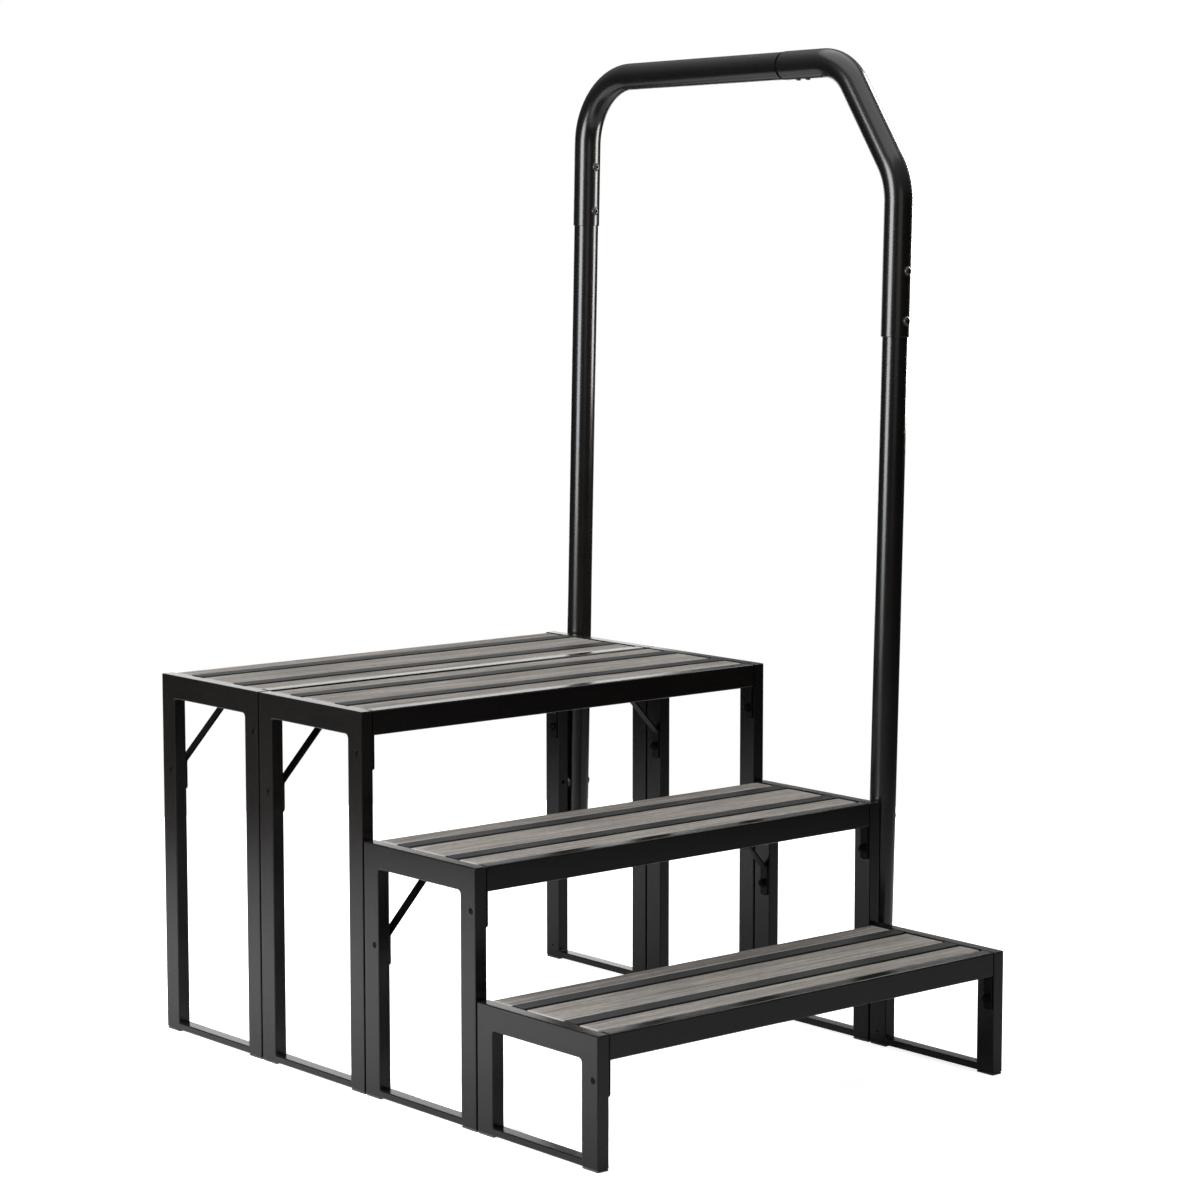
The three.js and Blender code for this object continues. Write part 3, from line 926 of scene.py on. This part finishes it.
def rail_bolts():
    """Button heads on the sleeves, pressed nuts behind them, and two rivets under the top joint."""
    pressed_nut = [(0, 0), (6.2, 0), (6.2, 0.9), (5.6, 1.4), (3.4, 1.5), (3.2, 0.5), (0, 0.4)]
    rivet = [(0, 0), (4.2, 0), (4.2, 0.7), (3.7, 1.5), (2.5, 2.1), (0, 2.4)]
    forward, backward, down = (0, -1, 0), (0, 1, 0), (0, 0, -1)
    heads, backs = bmesh.new(), bmesh.new()
    for rail_y, radius, heights in ((REAR_Y, REAR_R, REAR_BOLTS), (FRONT_Y, FRONT_R, FRONT_BOLTS)):
        for height in heights:
            x, y, z = leaning(rail_y, height)
            washer(heads, axis_matrix((x, y - radius + 0.35, z), forward), 7.0, 0.9)
            dome_head(heads, axis_matrix((x, y - radius - 0.5, z), forward), 6.1, 3.4, 2.4)
            lathe(backs, axis_matrix((x, y + radius - 0.5, z), backward), pressed_nut, 28)
    for rail_y in RIVETS_Y:
        x, y, z = leaning(rail_y, rail_height(rail_y))
        lathe(heads, axis_matrix((x, y, z - FRONT_R + 0.4), down), rivet)
    piece("handrail_bolt_heads", heads, BOLT_STEEL)
    piece("handrail_pressed_nuts", backs, DARK_STEEL)


def rail_marks():
    """Locating button on the rear tube and a plugged vent hole in the front tube."""
    bm = bmesh.new()
    for y, direction, radius, size in (
        (BUTTON_Y, (-0.55, 0, 0.83), REAR_R, 5.2),
        (PLUG_Y, (-0.62, -0.25, -0.30), FRONT_R, 1.9),
    ):
        d = Vector(direction).normalized()
        centre = leaning(y, rail_height(y)) + d * (radius - 0.35)
        button = [(0, 0), (size, 0), (size, 0.45), (size * 0.86, 0.62), (size * 0.7, 0.1), (0, 0.0)]
        lathe(bm, axis_matrix(centre, d), button)
    piece("handrail_locating_button", bm, DARK_STEEL)


# ---------------------------------------------------------------- frame fixings
def frame_fixings():
    """Sunk heads on the outer faces, locking nuts on the tabs, spacers in the gaps behind the tabs."""
    sunk, sides = 1.5, 24
    heads, nuts, spacers = bmesh.new(), bmesh.new(), bmesh.new()
    for module in MODULES:
        for side in SIDES:
            out, outer, inner = faces_of(module, side)
            outward, inward = (out, 0, 0), (-out, 0, 0)
            for y, z, gap in fixing_places(module, side):
                dome_head(heads, axis_matrix((outer - out * sunk, y, z), outward), 3.9, 1.4, 1.6, sides)
                tab = inner - out * (gap + TAB_THICK)
                if side == "left":
                    dome_head(nuts, axis_matrix((tab, y, z), inward), 5.0, 1.9, 1.9, sides)
                else:
                    washer(nuts, axis_matrix((tab, y, z), inward), 6.2, 1.1)
                    hex_nut(nuts, axis_matrix((tab - out * 1.1, y, z), inward), 10, 5.4, 2.9)
                if gap > 1:
                    washer(spacers, axis_matrix((inner - out * 0.05, y, z), inward), 6.0, gap - 0.1)
    piece("frame_sunk_heads", heads, BRACE_COAT)
    # The nuts take the darker coat that paints shade on them.
    piece("frame_locking_nuts", nuts, SHADE_DARKENED_TAB_COAT)
    piece("frame_rail_spacers", spacers, DARK_STEEL)


def board_screws():
    """Pan heads under the bearers, which hold the boards down."""
    bearer_ends, bearers_x, down = (10, 183), (70, 370, 670), (0, 0, -1)
    bm = bmesh.new()
    for module in MODULES:
        lo = span(f"{module}_slats_and_bearers")[0]
        for board_name in BOARDS:
            b_lo, b_hi = span(f"{module}_{board_name}")
            y = min(max((b_lo.y + b_hi.y) / 2, lo.y + bearer_ends[0]), lo.y + bearer_ends[1])
            for x in bearers_x:
                dome_head(bm, axis_matrix((x, y, lo.z), down), 4.2, 2.4, 1.7, 20)
    piece("board_screws", bm, DARK_STEEL)


def weld_runs():
    """Short weld runs where the foot bars meet the legs, on the inside of the frames."""
    bm = bmesh.new()
    seed = 11
    for module in MODULES:
        for side in SIDES:
            lo, hi = span(f"{module}_{side}_side_frame")
            for y in (lo.y + LEG_DEEP, hi.y - LEG_DEEP):
                seed += 1
                weld_bead(bm, (lo.x + 3, y, BAR_HIGH), (hi.x - 3, y, BAR_HIGH), 1.25, seed)
    piece("foot_bar_welds", bm, COAT)


def finish_cad(node, material):
    """Keeps a CAD node as it is and gives it a procedural finish."""
    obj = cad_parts[node]
    obj.data.materials.clear()
    obj.data.materials.append(material)


# ---------------------------------------------------------------- build
for module_number, module_name in enumerate(MODULES):
    for side_name in SIDES:
        side_frame(module_name, side_name)
        if module_name in BRACED:
            knee_brace(module_name, side_name)
    front_rail(module_name)
    for board_number, kind in enumerate(BOARDS):
        board(f"{module_name}_{kind}", 100 + 10 * module_number + board_number)
    finish_cad(f"{module_name}_rear_rail", COAT)
    finish_cad(f"{module_name}_slats_and_bearers", SLAT_COAT)
feet()
handrail()
rail_bolts()
rail_marks()
frame_fixings()
board_screws()
weld_runs()


# ---------------------------------------------------------------- stage, light and camera, in metres
FLOOR_Z = -0.0006
FLOOR_GLOW = 0.8
CAMERA_PLACE = (-3.03414, -3.61453, 1.21568)
CAMERA_YAW, CAMERA_PITCH, CAMERA_ROLL = 41.2867, 6.8854, -0.122
CAMERA_LENS, CAMERA_SENSOR = 100.284, 36
CAMERA_SHIFT = (-0.05597, 0.00184)


def floor():
    """A round pale floor, which glows for the camera only."""
    sides = 96
    bm = bmesh.new()
    rings = [[bm.verts.new((0, 0, FLOOR_Z))]]
    for radius in (0.6, 1.2, 1.7, 2.0):
        angles = [2 * math.pi * k / sides for k in range(sides)]
        rings.append([bm.verts.new((radius * math.cos(a), radius * math.sin(a), FLOOR_Z)) for a in angles])
    skin(bm, rings)
    obj = as_object(bm, "floor")
    n = Nodes("pale_floor")
    n.plug("Base Color", n.ramp(n.noise(3.0), [(0.3, (0.64, 0.64, 0.64)), (0.7, (0.67, 0.67, 0.67))]))
    n.plug("Roughness", 0.9)
    n.plug("Specular IOR Level", 0.1)
    n.plug("Emission Color", (1, 1, 1, 1))
    seen = n.add("ShaderNodeLightPath").outputs["Is Camera Ray"]
    n.plug("Emission Strength", n.maths("MULTIPLY", seen, FLOOR_GLOW))
    obj.data.materials.append(n.material)


def softbox(name, place, target, size, power, colour=(1, 1, 1)):
    """A rectangular light that faces its target and that the camera doesn't see."""
    light = bpy.data.lights.new(name, "AREA")
    light.shape = "RECTANGLE"
    light.size, light.size_y = size
    light.energy = power
    light.color = colour
    obj = bpy.data.objects.new(name, light)
    bpy.context.scene.collection.objects.link(obj)
    obj.location = place
    obj.rotation_euler = (Vector(target) - Vector(place)).to_track_quat("-Z", "Y").to_euler()
    obj.visible_camera = False
    return obj


def sky():
    """A white surround for the camera; a soft dome, dark below the horizon, for everything else."""
    world = bpy.data.worlds.new("studio")
    bpy.context.scene.world = world
    world.use_nodes = True
    tree = world.node_tree
    tree.nodes.clear()
    out = tree.nodes.new("ShaderNodeOutputWorld")
    place = tree.nodes.new("ShaderNodeTexCoord")
    split = tree.nodes.new("ShaderNodeSeparateXYZ")
    spread = tree.nodes.new("ShaderNodeMapRange")
    spread.inputs["From Min"].default_value = -1.0
    spread.inputs["From Max"].default_value = 1.0
    ramp = tree.nodes.new("ShaderNodeValToRGB")
    set_stops(ramp.color_ramp, [
        (0.0, (0.02, 0.02, 0.02)), (0.48, (0.03, 0.029, 0.028)), (0.56, (0.07, 0.07, 0.07)),
        (0.78, (0.45, 0.45, 0.46)), (1.0, (0.80, 0.80, 0.81)),
    ])
    dome = tree.nodes.new("ShaderNodeBackground")
    white = tree.nodes.new("ShaderNodeBackground")
    white.inputs["Color"].default_value = (1, 1, 1, 1)
    path = tree.nodes.new("ShaderNodeLightPath")
    mix = tree.nodes.new("ShaderNodeMixShader")
    link = tree.links.new
    link(place.outputs["Generated"], split.inputs["Vector"])
    link(split.outputs["Z"], spread.inputs["Value"])
    link(spread.outputs["Result"], ramp.inputs["Fac"])
    link(ramp.outputs["Color"], dome.inputs["Color"])
    link(path.outputs["Is Camera Ray"], mix.inputs["Fac"])
    link(dome.outputs["Background"], mix.inputs[1])
    link(white.outputs["Background"], mix.inputs[2])
    link(mix.outputs["Shader"], out.inputs["Surface"])


def camera():
    """The camera, with its directions ahead and to the right."""
    yaw, pitch, roll = (math.radians(angle) for angle in (CAMERA_YAW, CAMERA_PITCH, CAMERA_ROLL))
    forward = Vector((math.cos(pitch) * math.sin(yaw), math.cos(pitch) * math.cos(yaw), -math.sin(pitch)))
    right = Vector((math.cos(yaw), -math.sin(yaw), 0))
    down = forward.cross(right)
    across = math.cos(roll) * right + math.sin(roll) * down
    low = -math.sin(roll) * right + math.cos(roll) * down
    data = bpy.data.cameras.new("camera")
    data.sensor_width = CAMERA_SENSOR
    data.lens = CAMERA_LENS
    data.shift_x, data.shift_y = CAMERA_SHIFT
    data.clip_end = 60
    obj = bpy.data.objects.new("camera", data)
    bpy.context.scene.collection.objects.link(obj)
    turn = Matrix((across, -low, -forward)).transposed().to_4x4()
    obj.matrix_world = Matrix.Translation(CAMERA_PLACE) @ turn
    bpy.context.scene.camera = obj
    return forward, right


floor()
sky()
ahead, rightward = camera()
towards = -Vector((ahead.x, ahead.y, 0)).normalized()
rightward = Vector((rightward.x, rightward.y, 0)).normalized()


def around(degrees, distance, height):
    """A place round the object: 0 is towards the camera, positive to the picture's right."""
    a = math.radians(degrees)
    return towards * math.cos(a) * distance + rightward * math.sin(a) * distance + Vector((0, 0, height))


MIDDLE = Vector((0, 0, 0.75))
COOL, PALE_BLUE, CREAM, WARM = (0.96, 0.975, 1.0), (0.95, 0.975, 1.0), (1.0, 0.99, 0.96), (1.0, 0.93, 0.88)
softbox("overhead_softbox", (0, 0, 3.2), (0, 0, 0), (3.2, 3.2), 72)
softbox("left_strip_softbox", around(-55, 2.6, 1.45), MIDDLE, (1.45, 1.9), 165, COOL)
softbox("right_card", (1.06, -0.06, 1.3), (0.38, 0.47, 1.25), (0.32, 0.9), 19, CREAM)
floor_wash = softbox("left_floor_wash", (-0.86, 0.45, 0.6), (-0.86, 0.4501, 0.0), (0.5, 1.4), 13.5, PALE_BLUE)
floor_wash.visible_glossy = False
softbox("front_fill", around(18, 4.2, 1.65), MIDDLE, (2.2, 1.7), 13, WARM)
softbox("low_back_card", around(180, 4.2, 0.43), (0, 0, 0.3), (3.6, 0.65), 17)
high_place = around(180, 4.2, 1.13) - rightward * 1.1
softbox("high_back_card", high_place, (0, 0, 0.5), (2.5, 0.75), 12)

view = bpy.context.scene.view_settings
view.view_transform = "Standard"
view.look = "None"
view.exposure = 0
view.gamma = 1
